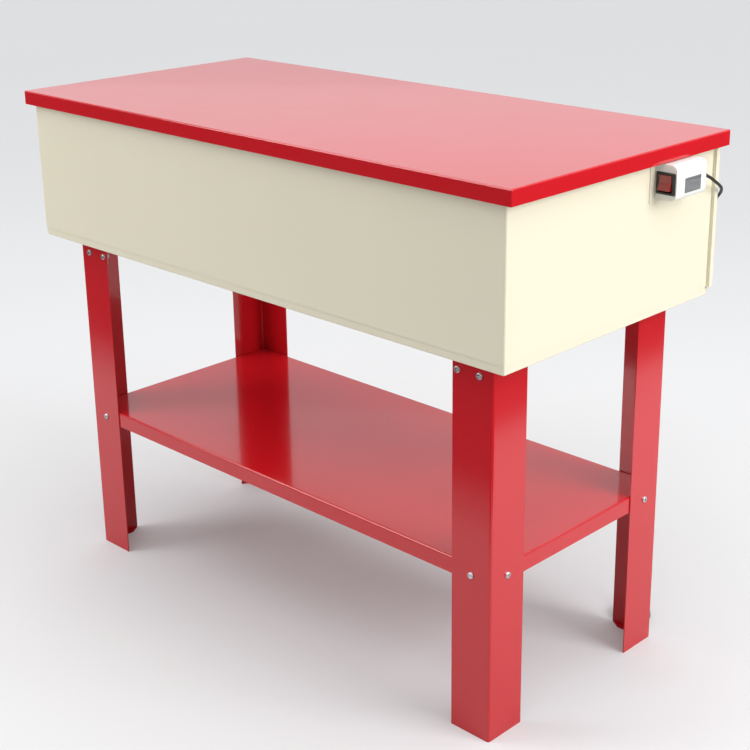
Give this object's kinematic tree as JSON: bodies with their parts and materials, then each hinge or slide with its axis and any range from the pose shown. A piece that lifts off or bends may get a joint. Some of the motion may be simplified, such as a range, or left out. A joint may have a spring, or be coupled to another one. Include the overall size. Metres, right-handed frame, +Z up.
{
  "type": "parts washer tank",
  "caption": "Sheet steel solvent parts washer: cream tank with a hinged red lid, a switch box, four red angle legs and a red lower shelf.",
  "frame": {"origin": "on the floor, under the middle of the box around the washer without its cord", "axes": "+X along the tank towards the switch box, -Y towards the front, +Z up"},
  "size_m": [1.203, 0.6457, 0.928],
  "materials": {
    "red_paint": "gloss enamel",
    "cream_paint": "satin enamel",
    "zinc_steel": "bright zinc plate",
    "brass": "plain",
    "chrome": "polished",
    "black_plastic": "moulded",
    "pump_paint": "satin",
    "white_plastic": "moulded",
    "red_clear": "moulded, translucent",
    "plate_grey": "plain foil plate",
    "black_rubber": "moulded"
  },
  "bodies": {
    "washer": {"leg_front_left": "red_paint", "leg_front_right": "red_paint", "leg_rear_left": "red_paint", "leg_rear_right": "red_paint", "lower_shelf": "red_paint", "tank_front": "cream_paint", "tank_end_left": "cream_paint", "tank_end_right": "cream_paint", "tank_back": "cream_paint", "tank_bottom": "cream_paint", "leg_brackets": "cream_paint", "shelf_rails": "cream_paint", "switch_box_plate": "cream_paint", "spout_bracket": "cream_paint", "stay_seat": "cream_paint", "leg_bolts": "zinc_steel", "leg_nuts": "zinc_steel", "shelf_bolts": "zinc_steel", "shelf_nuts": "zinc_steel", "hinge_leaf_tank": "zinc_steel", "hinge_pin": "zinc_steel", "hinge_rivets": "zinc_steel", "pump_strap": "zinc_steel", "spout_nut": "zinc_steel", "hose_clamps": "zinc_steel", "switch_box_screws": "zinc_steel", "drain_bush": "zinc_steel", "spout_fitting": "brass", "plug_pins": "brass", "pump_strainer": "black_plastic", "pump_base": "black_plastic", "pump_gland": "black_plastic", "switch_body": "black_plastic", "pump_motor": "pump_paint", "switch_box": "white_plastic", "rating_plate": "plate_grey", "drain_gasket": "black_rubber", "outlet_hose": "black_rubber", "lead_grommet": "black_rubber", "pump_lead": "black_rubber", "cord_strain_relief": "black_rubber", "power_cord": "black_rubber", "cord_coil": "black_rubber", "plug_body": "black_rubber"},
    "lid": {"lid": "red_paint", "hinge_leaf_lid": "zinc_steel", "stay_lid_tab": "zinc_steel", "stay_clip": "zinc_steel"},
    "stay": {"stay_arm_lower": "zinc_steel", "stay_arm_upper": "zinc_steel", "fusible_link": "brass"},
    "work_shelf": {"work_shelf": "zinc_steel"},
    "basket": {"parts_basket": "zinc_steel"},
    "spout": {"spout_collar": "chrome", "spout_tube": "chrome", "spout_nozzle": "brass"},
    "drain_plug": {"drain_plug": "zinc_steel"},
    "impeller": {"pump_impeller": "black_plastic"},
    "rocker": {"rocker": "red_clear"}
  },
  "joints": [
    {"name": "lid_hinge", "type": "hinge", "parent": "washer", "child": "lid", "pos_m": [-0.0115, 0.2684, 0.899], "axis": [-1, 0, 0], "range_deg": [0, 75]},
    {"name": "stay_swing", "type": "hinge", "parent": "lid", "child": "stay", "pos_m": [-0.57075, 0.0684, 0.911], "axis": [1, 0, 0], "range_deg": [0, 137.4]},
    {"name": "work_shelf_lift", "type": "slide", "parent": "washer", "child": "work_shelf", "axis": [0, 0, 1], "range_m": [0, 0.058]},
    {"name": "basket_lift", "type": "slide", "parent": "work_shelf", "child": "basket", "axis": [0, 0, 1], "range_m": [0, 0.058]},
    {"name": "spout_swivel", "type": "hinge", "parent": "washer", "child": "spout", "pos_m": [0.3525, 0.18, 0.788], "axis": [0, 0, 1], "range_deg": [-55, 90]},
    {"name": "drain_plug_turn", "type": "hinge", "parent": "washer", "child": "drain_plug", "pos_m": [0.24, 0.0005, 0.64], "axis": [0, 0, 1], "range_deg": [0, 360]},
    {"name": "impeller_spin", "type": "hinge", "parent": "washer", "child": "impeller", "pos_m": [0.4185, 0.18, 0.7], "axis": [0, 0, 1], "continuous": true},
    {"name": "rocker_press", "type": "hinge", "parent": "washer", "child": "rocker", "pos_m": [0.58225, 0.094, 0.87225], "axis": [1, 0, 0], "range_deg": [0, 20]}
  ]
}
